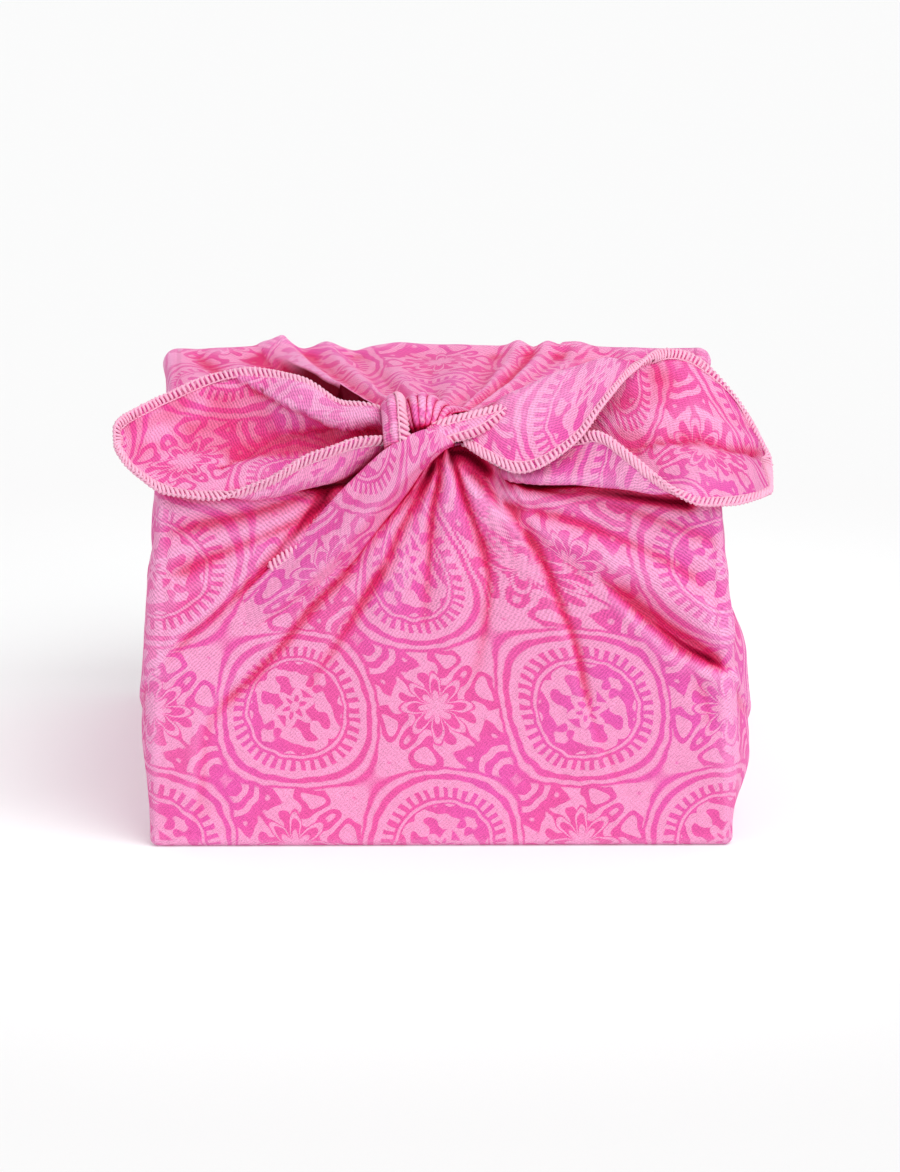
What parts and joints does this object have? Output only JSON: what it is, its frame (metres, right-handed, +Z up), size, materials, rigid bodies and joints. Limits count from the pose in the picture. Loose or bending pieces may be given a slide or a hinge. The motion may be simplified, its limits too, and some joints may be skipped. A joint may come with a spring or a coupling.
{
  "type": "furoshiki wrap",
  "caption": "Square knit cloth wrapped round a low box form and tied in a knot at the front top edge, with two free leaf-shaped corners; hollow inside.",
  "frame": {"origin": "middle of the flat underside, on the surface the wrap rests on", "axes": "+X to the right along the knot's two free corners, +Y from the knotted front to the back, +Z up"},
  "size_m": [0.2371, 0.225, 0.1749],
  "materials": {
    "knit_cloth": null,
    "edging_thread": "pale overlock thread"
  },
  "bodies": {
    "root": {"furoshiki_cloth": "knit_cloth"}
  },
  "joints": []
}
